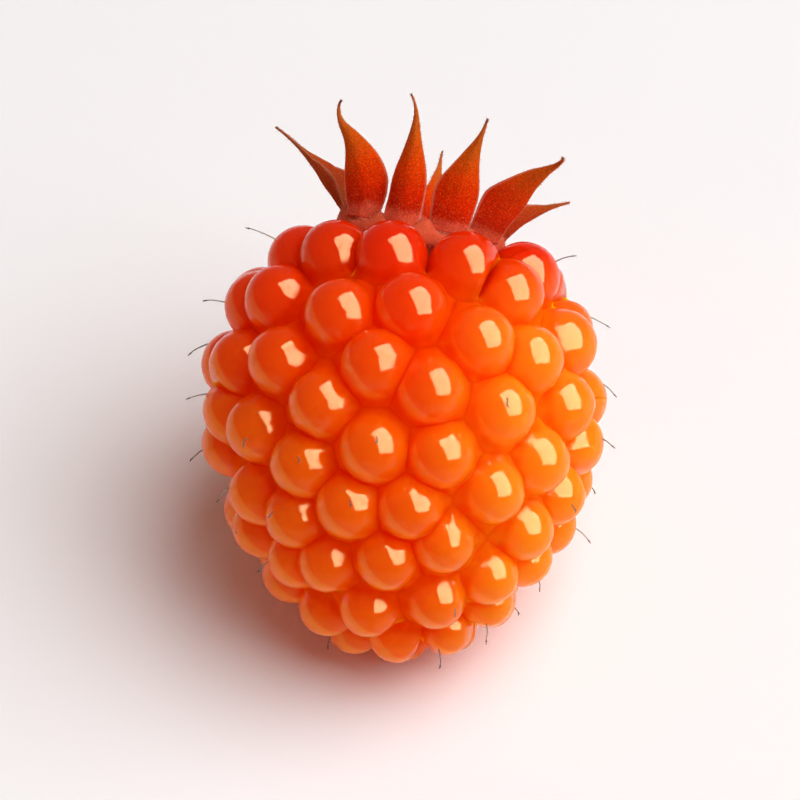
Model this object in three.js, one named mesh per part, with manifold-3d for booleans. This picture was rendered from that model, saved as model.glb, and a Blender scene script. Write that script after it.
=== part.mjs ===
// A ripe salmonberry, picked with its calyx on and lying on its flank, calyx end up.
// Millimetres, +Z up, resting on z = 0. The origin is the flat of one of the drupelets that bear it.
import * as THREE from 'three';
import { ConvexHull } from 'three/addons/math/ConvexHull.js';
import { mergeVertices } from 'three/addons/utils/BufferGeometryUtils.js';
import Module from 'manifold-3d';

const wasm = await Module();
wasm.setup();
const { degToRad, lerp } = THREE.MathUtils;

// The fruit's form: the egg-shaped surface that the middles of the drupelets lie on.
const halfLength = 9.2;
const girth = 7.6; // from the axis to that surface, at its widest
const shoulder = 0.15; // how much fuller the calyx end is than the tip
const taper = 1.02; // over 1 draws both ends in
const roundTo = 12; // a higher power keeps a drupelet's skin round until nearer its seams
const fleshProud = 0.3; // flesh fills the gaps between drupelets to this height over that surface

// The drupelets sit on one spiral that winds from the calyx to the tip.
const lastDrupelet = 104;
const spiralStart = 0.144; // share of the way round from the calyx pole to the tip pole
const spiralEnd = 0.995;
const startAngle = 58; // degrees about the axis, from the side that faces up and forward
const turn = 137.107; // degrees from one drupelet to the next
const turnGrowth = 0.003; // and its small change along the spiral
const crowding = 0.3; // how much closer they stand at the tip
const drupeletRadius = 1.63; // beside the calyx
const tipRadius = 1.26; // at the tip
const radiusEase = 1.6;
const crownRadius = 4; // the broad low end of the flesh under the calyx
const crownTop = 7.7; // above the widest part of the fruit
const strayRound = 0.25; // how far a drupelet strays off the spiral, at most
const strayAlong = 0.2;

// The ones that stray further: number, then millimetres round the fruit and towards the calyx.
const grownOff = new Map([
  [1, [0, -0.75]], [2, [-0.75, -0.5]], [3, [-0.75, -1.5]], [5, [0.5, -0.5]], [7, [-0.25, 1]],
  [8, [-0.25, 0.25]], [9, [0, 0.25]], [10, [0.5, 1.5]], [13, [0.5, 0]], [15, [-1.25, 0.25]],
  [16, [0.5, -0.5]], [18, [-0.5, 0]], [20, [0.5, 1.25]], [23, [0.5, 0.75]], [26, [0.25, 0]],
  [28, [-1, -0.25]], [29, [-0.25, 1]], [31, [0, -0.25]], [33, [0.25, 1]], [34, [0.5, 0.75]],
  [35, [0, 0.25]], [36, [-0.25, 1]], [42, [0.5, 0.25]], [44, [-0.5, 0.25]], [47, [0.75, 0.5]],
  [49, [0, 0.25]], [52, [-0.75, -0.5]], [54, [0, 0.75]], [55, [0.75, -0.25]], [56, [0, -0.75]],
  [57, [0, -0.25]], [60, [-0.25, 0.5]], [62, [0.5, -0.5]], [63, [1, -0.25]], [65, [-0.5, -1]],
  [68, [0, 0.25]], [69, [0.25, 0]], [70, [0.25, -0.5]], [71, [0.75, -0.25]], [73, [0, 0.25]],
  [76, [0.5, 0]], [77, [0.5, 0]], [79, [0.25, -0.25]], [81, [-0.5, 0]], [89, [0.75, 0]],
  [91, [0, 1]], [92, [0.75, -0.5]], [94, [0.75, -0.5]], [96, [-0.5, -0.25]], [97, [0.5, 0.5]],
  [99, [-0.5, 0.25]], [102, [1.25, 0]], [104, [0.5, 0]],
]);
const standsOut = new Map([[56, 0.4]]); // and the ones that stand out from the rest
const ungrown = [21, 78]; // pistils that set no drupelet, so their neighbours close over their places

// How it lies: the axis rises this far from the surface, and its own weight presses the lowest flat.
const axisRise = 36.5;
const pressed = 0.3;
const restDrupelet = 77;

// The calyx sits a little askew on the top of the fruit.
const calyxHeight = 8.35;
const calyxOffset = 0.7;
const calyxLean = 10.6; // degrees to the right, seen from the front
const calyxNod = 6; // degrees to the front
const cupRadius = 3.65;
const cupWall = 0.7;
const cupRise = 0.05; // from the middle of the saucer to its rim
const hubRadius = 2.3; // the thick middle of its underside, which sits on the crown
const hubFoot = 2.7; // where its slope runs out into the saucer
const hubDepth = 0.1;
const rimBulge = 0.35; // of the rounded rim, as a share of its height
const stubRadius = 0.6;
const stubHeight = 0.6;
const joint = 0.1; // the hair of air between the cup and what grows from it

// Each sepal: degrees round from the front, length and width, then how it bends, in degrees: it flares from
// the calyx's axis, curls in or out along its length, has a belly, bends to a side, is turned about its own
// length and ends in a hook. Cupping is how far its edges bend inwards, as a share of its width. The more
// slender it is, the sooner it is drawn in to its point. Narrow is the share of the width lost at its foot.
const sepals = [
  {
    at: -98, length: 4.9, width: 2, flare: 52, curl: 9, belly: 4, turned: -15, cupping: 0.42, slender: 2,
    narrow: 0.3,
  },
  { at: -49, length: 5.45, width: 2.1, flare: 10, curl: 4, bend: -36, turned: 36, hook: 125, narrow: 0.25 },
  { at: -16, length: 5.5, width: 1.65, flare: 0, curl: 2, bend: -3, turned: 5, hook: -35 },
  { at: 19, length: 5.05, width: 2.1, flare: 14, curl: 5, bend: 6, turned: -10, hook: -10, narrow: 0.15 },
  { at: 52, length: 5.75, width: 2.05, flare: 47, curl: 20, bend: 1, turned: -30, hook: -75, narrow: 0.2 },
  { at: 98, length: 3.5, width: 1.9, flare: 53, curl: 14, bend: -4, turned: -20, cupping: 0.3 },
  { at: 178, length: 4.8, width: 1.8, flare: 42, curl: -4, turned: 45 },
];
const sepalFoot = 3.6; // from the calyx's axis to the middle of a sepal's foot
const footHeight = 1.2; // above the middle of the saucer's underside
const footRoot = 0.07; // share of the length that reaches down towards the saucer's rim
const uprightRoot = 0.8; // how much of its lean a sepal loses at the very foot
const usualCupping = 0.22;
const flatFoot = 0.3; // share of the cupping that a sepal has at its foot
const cuppedFrom = 0.23; // and share of the length where it has all of it
const narrowUpTo = 0.35; // share of the length
const sepalThickness = 0.42;
const edgeThinning = 0.55; // share of the thickness that is gone at the edges
const tipThinning = 0.8; // and at the tip
const sepalTip = 0.05; // width of the tip, as a share of the width
const hookStart = 0.72; // share of the length
const sepalAround = 10;
const sepalAlong = 12;

// The dried styles that haven't broken off, by the number of their drupelet. Some lean a way of their own:
// degrees of droop towards the fruit's tip and degrees aside, then the length, and how far the foot is down
// and across from the drupelet's outermost point.
const styled = [
  6, 7, 8, 9, 11, 14, 16, 17, 19, 20, 27, 32, 33, 35, 37, 38, 41, 43, 47, 49, 50, 51, 52,
  53, 54, 57, 58, 59, 62, 63, 65, 70, 71, 72, 75, 83, 84, 92, 94, 97, 101, 102,
];
const ownLean = new Map([
  [7, [30, -10, 1.5, 0.5, 0]], [8, [25, 10, 1, 0.5, 0.25]], [16, [45, 15, 1.25, -0.25, 0.25]],
  [20, [25, -10, 1, 0.75, -0.25]], [33, [35, -15, 1.25, -1, 0]], [37, [40, 5, 1, -1, -0.25]],
  [41, [10, -5, 1, -1, 0]], [47, [35, -25, 0.75, -0.75, -0.75]], [49, [30, 30, 0.75, 0.5, 1]],
  [50, [25, -5, 0.75, -0.5, -0.25]], [52, [25, 10, 0.5, -1, 0.5]], [54, [30, 0, 0.75, 0, 0]],
  [57, [30, 45, 0.5, -0.75, 0.75]], [58, [30, 10, 0.5, -0.25, 0.25]], [62, [25, -5, 1, -1, -0.5]],
  [63, [30, -35, 0.5, 0.25, -1]], [65, [15, 25, 0.5, -1, 0.75]], [70, [10, 15, 0.5, -1, 0]],
  [71, [15, 5, 1, -0.5, -0.25]], [75, [60, 20, 0.5, -1, 0.25]], [83, [10, -15, 0.75, -0.75, -0.5]],
  [84, [45, 0, 0.5, 0.5, 0]], [92, [0, 5, 0.5, -1, 0]], [94, [0, -20, 0.5, -0.75, 0.75]],
  [97, [35, -20, 1, 0.75, -0.75]], [101, [10, 0, 0.5, -1, 0.5]], [102, [10, -20, 1, 0.75, -1]],
]);
const styleWidth = 0.06;
const styleLength = 1.1;
const styleStray = 0.3;
const styleRoot = 0.12; // depth of its foot in the flesh
const styleDroop = 28;
const droopStray = 18;
const asideStray = 17;
const styleBend = 24; // degrees between its lower half and its upper half
const styleSteps = 4;
const styleSides = 5;

const material = (color, roughness) => new THREE.MeshStandardMaterial({ color, roughness, metalness: 0 });
const flesh = material(0xef6a14, 0.16);
const down = material(0xc98064, 0.9);
const sepalSkin = material(0xa8391c, 0.85);
const stalk = material(0x9a7a4a, 0.8);
const driedHair = material(0x5b3a26, 0.6);

// A repeatable stray from -1 to 1 for a numbered piece, another one for each kind.
function stray(number, kind) {
  const mixed = Math.sin(number * 12.9898 + kind * 78.233) * 43758.5453;
  return 2 * (mixed - Math.floor(mixed)) - 1;
}

// The surface of the drupelets' middles, at a share of the way from the calyx pole to the tip pole.
function meridian(share) {
  const angle = share * Math.PI;
  const out = girth * Math.sin(angle) ** taper * (1 + shoulder * Math.cos(angle));
  return new THREE.Vector2(out, halfLength * Math.cos(angle));
}

// Shares of the way along the meridian that give each drupelet of the spiral the same crowded area.
function spiralShares() {
  const steps = 2000;
  const covered = [0];
  for (let step = 1; step <= steps; step++) {
    const before = meridian(lerp(spiralStart, spiralEnd, (step - 1) / steps));
    const here = meridian(lerp(spiralStart, spiralEnd, step / steps));
    const size = 1 - crowding * step / steps;
    covered.push(covered[step - 1] + here.x * here.distanceTo(before) / size ** 2);
  }
  const shares = [];
  let step = 0;
  for (let number = 0; number <= lastDrupelet; number++) {
    const wanted = covered[steps] * (number + 0.5) / (lastDrupelet + 1);
    while (covered[step + 1] < wanted) step++;
    const part = (wanted - covered[step]) / (covered[step + 1] - covered[step]);
    shares.push(lerp(spiralStart, spiralEnd, (step + part) / steps));
  }
  return shares;
}

// The drupelet of a number: its middle, its radius and its own outward line, with the fruit's axis along z.
function drupelet(number, share) {
  const small = 0.001;
  const [round, up] = grownOff.get(number) ?? [strayRound * stray(number, 1), strayAlong * stray(number, 2)];
  const spot = meridian(share);
  const strayed = share - small * up / spot.distanceTo(meridian(share + small));
  const angle = degToRad(startAngle + number * (turn + turnGrowth * number)) + round / spot.x;
  const here = meridian(strayed);
  const slope = meridian(strayed + small).sub(here).normalize();
  const outwards = standsOut.get(number) ?? 0;
  const turned = (out, along) => new THREE.Vector3(out * Math.sin(angle), -out * Math.cos(angle), along);
  const outward = turned(-slope.y, slope.x);
  return {
    centre: turned(here.x, here.y).addScaledVector(outward, outwards),
    outward,
    radius: lerp(drupeletRadius, tipRadius, (number / lastDrupelet) ** radiusEase),
  };
}

// Number 0 is the crown, the round end of the flesh that the calyx covers.
const crown = {
  centre: new THREE.Vector3(0, 0, crownTop - crownRadius),
  outward: new THREE.Vector3(0, 0, 1),
  radius: crownRadius,
};
const drupelets = spiralShares().map((share, number) => (number === 0 ? crown : drupelet(number, share)));

// The way to each from the middle of the fruit says which of them are neighbours.
for (const each of drupelets) each.way = each.centre.clone().normalize();
const grown = drupelets.filter((each, number) => !ungrown.includes(number));

// All of it is turned to the lying pose and set down, with the resting drupelet's flat at the origin.
const lying = new THREE.Matrix4().makeRotationX(degToRad(axisRise - 90));
for (const { centre, outward } of drupelets) {
  centre.applyMatrix4(lying);
  outward.applyMatrix4(lying);
}
const lowest = Math.min(...grown.map(({ centre, radius }) => centre.z - radius));
const bearing = drupelets[restDrupelet].centre;
const setDown = new THREE.Vector3(-bearing.x, -bearing.y, -lowest - pressed);
for (const { centre } of drupelets) centre.add(setDown);
lying.setPosition(setDown);

// Where the skins of three neighbours meet, or the level of the flesh where the three stay apart.
function seamCorner([a, b, c]) {
  const toB = b.centre.clone().sub(a.centre);
  const toC = c.centre.clone().sub(a.centre);
  const [bb, bc, cc] = [toB.dot(toB), toB.dot(toC), toC.dot(toC)];
  const wantB = (bb + a.radius ** 2 - b.radius ** 2) / 2;
  const wantC = (cc + a.radius ** 2 - c.radius ** 2) / 2;
  const scale = bb * cc - bc * bc;
  const foot = toB.clone().multiplyScalar((wantB * cc - wantC * bc) / scale);
  foot.addScaledVector(toC, (wantC * bb - wantB * bc) / scale);
  const height = Math.sqrt(Math.max(a.radius ** 2 - foot.lengthSq(), fleshProud ** 2));
  return foot.add(a.centre).addScaledVector(toB.cross(toC).normalize(), height);
}

// Points along the seam of two neighbours, from one corner to the next, on the circle where they meet.
function seamPoints(a, b, from, to, steps) {
  const apart = b.centre.clone().sub(a.centre);
  const share = (apart.lengthSq() + a.radius ** 2 - b.radius ** 2) / (2 * apart.lengthSq());
  const middle = a.centre.clone().addScaledVector(apart, share);
  const circle = Math.sqrt(Math.max(a.radius ** 2 - apart.lengthSq() * share ** 2, fleshProud ** 2));
  const points = [];
  for (let step = 0; step <= steps; step++) {
    const part = step / steps;
    const reach = circle + (from.distanceTo(middle) - circle) * (1 - part) ** 3
      + (to.distanceTo(middle) - circle) * part ** 3;
    const line = from.clone().lerp(to, part).sub(middle).setLength(reach);
    points.push(line.add(middle));
  }
  return points;
}

// A row of points from a drupelet's outermost point, over its round skin, down to a point of its seam.
function overSkin({ centre, outward, radius }, foot, rows) {
  const down = foot.clone().sub(centre);
  const depth = down.length();
  const angle = outward.angleTo(down);
  const aside = down.clone().projectOnPlane(outward).normalize();
  const points = [];
  for (let row = 0; row <= rows; row++) {
    const part = row / rows;
    const reach = lerp(radius, depth, part ** roundTo);
    const line = outward.clone().multiplyScalar(Math.cos(angle * part) * reach);
    line.addScaledVector(aside, Math.sin(angle * part) * reach);
    points.push(line.add(centre));
  }
  return points;
}

// The closed skin of the flesh: each drupelet is a dome that ends at the seams with its neighbours.
function fleshSkin() {
  const seamSteps = 2;
  const domeRows = 4;
  const owner = new Map(grown.map((each) => [each.way, each]));
  const hull = new ConvexHull().setFromPoints(grown.map(({ way }) => way));
  const edgesOf = ({ edge }) => [edge, edge.next, edge.next.next];
  const corners = new Map();
  for (const face of hull.faces) {
    corners.set(face, seamCorner(edgesOf(face).map((edge) => owner.get(edge.tail().point))));
  }
  const points = [];
  for (const edge of hull.faces.flatMap(edgesOf)) {
    const here = owner.get(edge.tail().point);
    const there = owner.get(edge.head().point);
    const seam = seamPoints(here, there, corners.get(edge.twin.face), corners.get(edge.face), seamSteps);
    const rows = seam.map((foot) => overSkin(here, foot, domeRows));
    for (let step = 0; step < seamSteps; step++) {
      const [left, right] = [rows[step], rows[step + 1]];
      points.push(left[0], left[1], right[1]);
      for (let row = 1; row < domeRows; row++) {
        points.push(left[row], left[row + 1], right[row + 1], left[row], right[row + 1], right[row]);
      }
    }
  }
  return new THREE.BufferGeometry().setFromPoints(points);
}

function solidOf(geometry) {
  const bare = geometry.clone();
  bare.deleteAttribute('normal');
  bare.deleteAttribute('uv');
  const merged = mergeVertices(bare, 1e-4);
  const mesh = new wasm.Mesh({
    numProp: 3,
    vertProperties: new Float32Array(merged.attributes.position.array),
    triVerts: new Uint32Array(merged.index.array),
  });
  return new wasm.Manifold(mesh);
}

function geometryOf(solid) {
  const mesh = solid.getMesh();
  const geometry = new THREE.BufferGeometry();
  geometry.setAttribute('position', new THREE.BufferAttribute(mesh.vertProperties, 3));
  geometry.setIndex(new THREE.BufferAttribute(mesh.triVerts, 1));
  geometry.computeVertexNormals();
  return geometry;
}

function named(name, geometry, finish) {
  const mesh = new THREE.Mesh(geometry, finish);
  mesh.name = name;
  return mesh;
}

// The flesh is pressed flat where it bears on the surface.
function fleshGeometry() {
  const slab = new THREE.BoxGeometry(40, 40, 4).translate(0, 0, -2);
  return geometryOf(solidOf(fleshSkin()).subtract(solidOf(slab)));
}

// The upper face of the calyx's saucer, above the middle of its underside.
const cupTop = (out) => cupWall + cupRise * (out / cupRadius) ** 2;

// The saucer that the flesh hangs from and the sepals grow from, thick in the middle.
function cupGeometry() {
  const rings = 3;
  const under = (out) => new THREE.Vector2(out, cupTop(out) - cupWall);
  const profile = [new THREE.Vector2(0, -hubDepth), new THREE.Vector2(hubRadius, -hubDepth)];
  profile.push(under(hubFoot), under(cupRadius));
  profile.push(new THREE.Vector2(cupRadius + rimBulge * cupWall, cupTop(cupRadius) - cupWall / 2));
  for (let ring = rings; ring > 0; ring--) {
    const out = cupRadius * ring / rings;
    profile.push(new THREE.Vector2(out, cupTop(out)));
  }
  profile.push(new THREE.Vector2(0, cupWall));
  return new THREE.LatheGeometry(profile, 24).rotateX(Math.PI / 2);
}

// A cylinder's grid drawn into another form: place moves each point, given its share of the way along.
function drawnOut(around, along, place) {
  const geometry = new THREE.CylinderGeometry(1, 1, 1, around, along);
  const position = geometry.attributes.position;
  for (let index = 0; index < position.count; index++) {
    const point = new THREE.Vector3().fromBufferAttribute(position, index);
    position.setXYZ(index, ...place(point, point.y + 0.5));
  }
  return geometry;
}

// A sepal's width along its length: broad from the foot to a fifth of the way up, then drawn to a long point.
function sepalBreadth(share, slender, narrow) {
  const reach = lerp(0.12, 0.995, share) ** 0.58;
  const atFoot = 1 - narrow * Math.max(0, 1 - share / narrowUpTo) ** 2;
  return atFoot * lerp(sepalTip, 1, Math.sin(Math.PI * Math.max(0.5, reach)) ** (2 * slender));
}

// A sepal is a thin leaf, thickest down the middle, whose edges bend in towards the calyx's axis.
function sepalGeometry(sepal) {
  const { at, length, width, flare, curl, belly = 0, bend = 0 } = sepal;
  const { turned = 0, hook = 0, cupping = usualCupping, slender = 1, narrow = 0 } = sepal;
  const spine = [new THREE.Vector3(0, 0, 0)];
  const frames = [];
  for (let step = 0; step <= sepalAlong; step++) {
    const whole = lerp(-footRoot, 1, step / sepalAlong);
    const share = Math.max(0, whole);
    const upright = uprightRoot * Math.max(0, -whole / footRoot);
    const lean = (flare + 2 * curl * (share - 0.5) + belly * Math.cos(2 * Math.PI * share)) * (1 - upright);
    const hooked = hook * Math.max(0, (share - hookStart) / (1 - hookStart)) ** 1.5;
    const frame = new THREE.Matrix4().makeRotationX(degToRad(lean));
    frame.multiply(new THREE.Matrix4().makeRotationY(degToRad(2 * bend * share + hooked)));
    frames.push(frame.multiply(new THREE.Matrix4().makeRotationZ(degToRad(turned))));
    const ahead = new THREE.Vector3(0, 0, length * (1 + footRoot) / sepalAlong).applyMatrix4(frame);
    spine.push(spine[step].clone().add(ahead));
  }
  const blade = drawnOut(sepalAround, sepalAlong, ({ x, z }, part) => {
    const step = Math.round(part * sepalAlong);
    const share = Math.max(0, lerp(-footRoot, 1, part));
    const breadth = width * sepalBreadth(share, slender, narrow);
    const thickness = sepalThickness * (1 - edgeThinning * x * x) * (1 - tipThinning * share);
    const bent = cupping * Math.min(1, lerp(flatFoot, 1, share / cuppedFrom));
    const inward = z * thickness / 2 + bent * breadth * x * x;
    return new THREE.Vector3(-x * breadth / 2, inward, 0).applyMatrix4(frames[step]).add(spine[step]);
  });
  const rooted = sepalAlong * footRoot / (1 + footRoot);
  const foot = spine[Math.floor(rooted)].clone().lerp(spine[Math.ceil(rooted)], rooted % 1);
  return blade.translate(...foot.negate()).translate(0, -sepalFoot, footHeight).rotateZ(degToRad(at));
}

// The short broken end of the stalk, in the middle of the calyx: a little wider at its foot, and bent.
function stubGeometry() {
  const stub = drawnOut(10, 4, ({ x, z }, share) => {
    const radius = stubRadius * lerp(1.25, 0.9, share);
    const sideways = stubRadius / 3 * share ** 2;
    return new THREE.Vector3(x * radius + sideways, -z * radius, share * stubHeight);
  });
  return stub.translate(0, 0, cupWall + joint);
}

// A dried style: a hair from the round of its drupelet, leaning and bending towards the tip of the fruit.
function styleGeometry(number) {
  const { centre, outward, radius } = drupelets[number];
  const tipward = new THREE.Vector3(0, 0, -1).transformDirection(lying).projectOnPlane(outward).normalize();
  const sideways = outward.clone().cross(tipward);
  const usual = [
    styleDroop + droopStray * stray(number, 4),
    asideStray * stray(number, 3),
    styleLength + styleStray * stray(number, 5),
    0,
    0,
  ];
  const [droop, aside, length, down, across] = ownLean.get(number) ?? usual;
  const leaning = (degrees) => {
    const line = outward.clone().multiplyScalar(Math.cos(degToRad(degrees)));
    line.addScaledVector(tipward, Math.sin(degToRad(degrees))).multiplyScalar(Math.cos(degToRad(aside)));
    return line.addScaledVector(sideways, Math.sin(degToRad(aside)));
  };
  const footLine = outward.clone().multiplyScalar(radius);
  footLine.addScaledVector(tipward, down).addScaledVector(sideways, across).setLength(radius - styleRoot);
  const foot = centre.clone().add(footLine);
  const knee = foot.clone().addScaledVector(leaning(droop - styleBend / 2), length / 2);
  const end = knee.clone().addScaledVector(leaning(droop + styleBend / 2), length / 2);
  const corner = (side) => {
    const angle = 2 * Math.PI * side / styleSides;
    return new THREE.Vector2(Math.cos(angle), Math.sin(angle)).multiplyScalar(styleWidth / 2);
  };
  const section = new THREE.Shape(Array.from({ length: styleSides }, (_, side) => corner(side)));
  return new THREE.ExtrudeGeometry(section, {
    extrudePath: new THREE.QuadraticBezierCurve3(foot, knee, end),
    steps: styleSteps,
    bevelEnabled: false,
  });
}

const calyx = new THREE.Group();
calyx.position.set(calyxOffset, 0, calyxHeight);
calyx.rotation.set(degToRad(calyxNod), degToRad(calyxLean), 0);
calyx.add(named('calyx_cup', cupGeometry(), down));
calyx.add(named('pedicel_stub', stubGeometry(), stalk));
sepals.forEach((sepal, index) => {
  calyx.add(named(`sepal_${index + 1}`, sepalGeometry(sepal), sepalSkin));
});

const fruit = new THREE.Group();
fruit.applyMatrix4(lying);
fruit.add(calyx);

const salmonberry = new THREE.Group();
salmonberry.add(named('drupelets', fleshGeometry(), flesh));
salmonberry.add(fruit);
styled.forEach((number, index) => {
  const label = String(index + 1).padStart(2, '0');
  salmonberry.add(named(`style_${label}`, styleGeometry(number), driedHair));
});

export default salmonberry;
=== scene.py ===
import bmesh
import bpy
import numpy as np
from mathutils import Matrix, Quaternion, Vector


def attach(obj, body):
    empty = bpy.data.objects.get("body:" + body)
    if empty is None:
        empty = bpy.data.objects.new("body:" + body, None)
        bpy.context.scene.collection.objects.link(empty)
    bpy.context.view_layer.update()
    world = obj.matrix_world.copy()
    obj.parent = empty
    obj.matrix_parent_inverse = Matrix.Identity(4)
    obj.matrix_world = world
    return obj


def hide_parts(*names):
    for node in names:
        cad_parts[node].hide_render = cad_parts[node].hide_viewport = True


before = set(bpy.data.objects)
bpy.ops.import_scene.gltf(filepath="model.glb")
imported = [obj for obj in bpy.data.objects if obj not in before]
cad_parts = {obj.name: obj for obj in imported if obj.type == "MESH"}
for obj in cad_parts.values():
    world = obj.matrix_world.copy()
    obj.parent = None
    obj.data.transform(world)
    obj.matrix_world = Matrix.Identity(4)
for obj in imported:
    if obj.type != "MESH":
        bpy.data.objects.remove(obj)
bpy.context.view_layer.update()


# The flesh. A salmonberry's flesh is one body: about a hundred juicy drupelets grown together
# on one spiral, from the crown under the calyx to the tip. Each is a round drop with a thin, wet
# looking skin, pressed against its neighbours, and the lowest are flat where the fruit lies.
half_length = 9.2
girth = 7.6
shoulder = 0.15
taper = 1.02
round_to = 12
flesh_proud = 0.3
last_drupelet = 104
spiral_start = 0.144
spiral_end = 0.995
start_angle = 58
turn = 137.107
turn_growth = 0.003
crowding = 0.3
drupelet_radius = 1.63
tip_radius = 1.26
radius_ease = 1.6
crown_radius = 4
crown_top = 7.7
stray_round = 0.25
stray_along = 0.2
grown_off = {
    1: (0, -0.75), 2: (-0.75, -0.5), 3: (-0.75, -1.5), 5: (0.5, -0.5), 7: (-0.25, 1),
    8: (-0.25, 0.25), 9: (0, 0.25), 10: (0.5, 1.5), 13: (0.5, 0), 15: (-1.25, 0.25),
    16: (0.5, -0.5), 18: (-0.5, 0), 20: (0.5, 1.25), 23: (0.5, 0.75), 26: (0.25, 0),
    28: (-1, -0.25), 29: (-0.25, 1), 31: (0, -0.25), 33: (0.25, 1), 34: (0.5, 0.75), 35: (0, 0.25),
    36: (-0.25, 1), 42: (0.5, 0.25), 44: (-0.5, 0.25), 47: (0.75, 0.5), 49: (0, 0.25),
    52: (-0.75, -0.5), 54: (0, 0.75), 55: (0.75, -0.25), 56: (0, -0.75), 57: (0, -0.25),
    60: (-0.25, 0.5), 62: (0.5, -0.5), 63: (1, -0.25), 65: (-0.5, -1), 68: (0, 0.25),
    69: (0.25, 0), 70: (0.25, -0.5), 71: (0.75, -0.25), 73: (0, 0.25), 76: (0.5, 0), 77: (0.5, 0),
    79: (0.25, -0.25), 81: (-0.5, 0), 89: (0.75, 0), 91: (0, 1), 92: (0.75, -0.5),
    94: (0.75, -0.5), 96: (-0.5, -0.25), 97: (0.5, 0.5), 99: (-0.5, 0.25), 102: (1.25, 0),
    104: (0.5, 0),
}
stands_out = {56: 0.4}
ungrown = [21, 78]
axis_rise = 36.5
pressed = 0.3
rest_drupelet = 77
seam_steps = 10
dome_rows = 16  # this and the steps keep the flesh under 200,000 triangles
crease_softness = 0.04
crease_passes = 2
crease_gentlest = 0.35
seam_width = 0.3
lots = 24  # the points are worked through in lots, to spare memory
weld_within = 2e-7  # metres
sliver_edge = 1e-8  # metres


def length_of(lines):
    """The length of each line, kept as a last axis of one."""
    return np.linalg.norm(lines, axis=-1, keepdims=True)


def stray(number, kind):
    """A repeatable stray from -1 to 1: the fraction of a big sine, another one for each kind."""
    mixed = np.sin(number * 12.9898 + kind * 78.233) * 43758.5453
    return 2 * (mixed - np.floor(mixed)) - 1


def meridian(share):
    """Out from the axis and along it: a power of a sine, fuller toward the calyx, over a cosine."""
    angle = share * np.pi
    out = girth * np.sin(angle) ** taper * (1 + shoulder * np.cos(angle))
    return np.stack([out, half_length * np.cos(angle)], -1)


def spiral_shares(count, steps=2000):
    """Shares of the way down the meridian that give each drupelet the same area, less so toward the tip."""
    share = np.linspace(spiral_start, spiral_end, steps + 1)
    path = meridian(share)
    size = 1 - crowding * np.arange(1, steps + 1) / steps
    rings = path[1:, 0] * np.linalg.norm(np.diff(path, axis=0), axis=1) / size ** 2
    covered = np.concatenate([[0], np.cumsum(rings)])
    return np.interp(covered[-1] * (np.arange(count) + 0.5) / count, covered, share)


def drupelets():
    """Middles, outward lines and radii. Each drupelet stands one golden turn on from the last, at its share
    of the way down the meridian, moved a little round and along. The radius eases off with a power of its
    number."""
    small = 0.001
    number = np.arange(last_drupelet + 1)
    moved = np.stack([stray_round * stray(number, 1), stray_along * stray(number, 2)], -1)
    moved[list(grown_off)] = list(grown_off.values())
    share = spiral_shares(len(number))
    spot = meridian(share)
    share = share - small * moved[:, 1] / length_of(spot - meridian(share + small))[:, 0]
    angle = np.radians(start_angle + number * (turn + turn_growth * number)) + moved[:, 0] / spot[:, 0]
    here = meridian(share)
    slope = meridian(share + small) - here
    slope /= length_of(slope)
    centre = np.stack([here[:, 0] * np.sin(angle), -here[:, 0] * np.cos(angle), here[:, 1]], -1)
    outward = np.stack([-slope[:, 1] * np.sin(angle), slope[:, 1] * np.cos(angle), slope[:, 0]], -1)
    radius = drupelet_radius + (tip_radius - drupelet_radius) * (number / last_drupelet) ** radius_ease
    centre[list(stands_out)] += outward[list(stands_out)] * np.array(list(stands_out.values()))[:, None]
    centre[0], outward[0], radius[0] = (0, 0, crown_top - crown_radius), (0, 0, 1), crown_radius
    return centre, outward, radius


def hull_of(points):
    """The triangles of the points' convex hull, each turned so that it faces out."""
    hull = bmesh.new()
    for point in points:
        hull.verts.new(point)
    bmesh.ops.convex_hull(hull, input=hull.verts)
    hull.verts.index_update()
    faces = np.array([[vert.index for vert in face.verts] for face in hull.faces])
    hull.free()
    a, b, c = (points[faces[:, corner]] for corner in range(3))
    inward = ((a - points.mean(0)) * np.cross(b - a, c - a)).sum(-1) < 0
    faces[inward] = faces[inward][:, ::-1]
    return faces


def seam_corners(faces):
    """Where the skins of three neighbours meet. The foot is the point of their plane with the same power to
    all three spheres, and the height over it is the root of what that leaves of the radius squared."""
    a, b, c = (middle[faces[:, corner]] for corner in range(3))
    ra, rb, rc = (radius[faces[:, corner]] for corner in range(3))
    to_b, to_c = b - a, c - a
    bb, bc, cc = (to_b ** 2).sum(-1), (to_b * to_c).sum(-1), (to_c ** 2).sum(-1)
    want_b, want_c = (bb + ra ** 2 - rb ** 2) / 2, (cc + ra ** 2 - rc ** 2) / 2
    scale = bb * cc - bc ** 2
    foot = to_b * ((want_b * cc - want_c * bc) / scale)[:, None]
    foot += to_c * ((want_c * bb - want_b * bc) / scale)[:, None]
    height = np.sqrt(np.maximum(ra ** 2 - (foot ** 2).sum(-1), flesh_proud ** 2))
    up = np.cross(to_b, to_c)
    return a + foot + up / length_of(up) * height[:, None]


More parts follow.
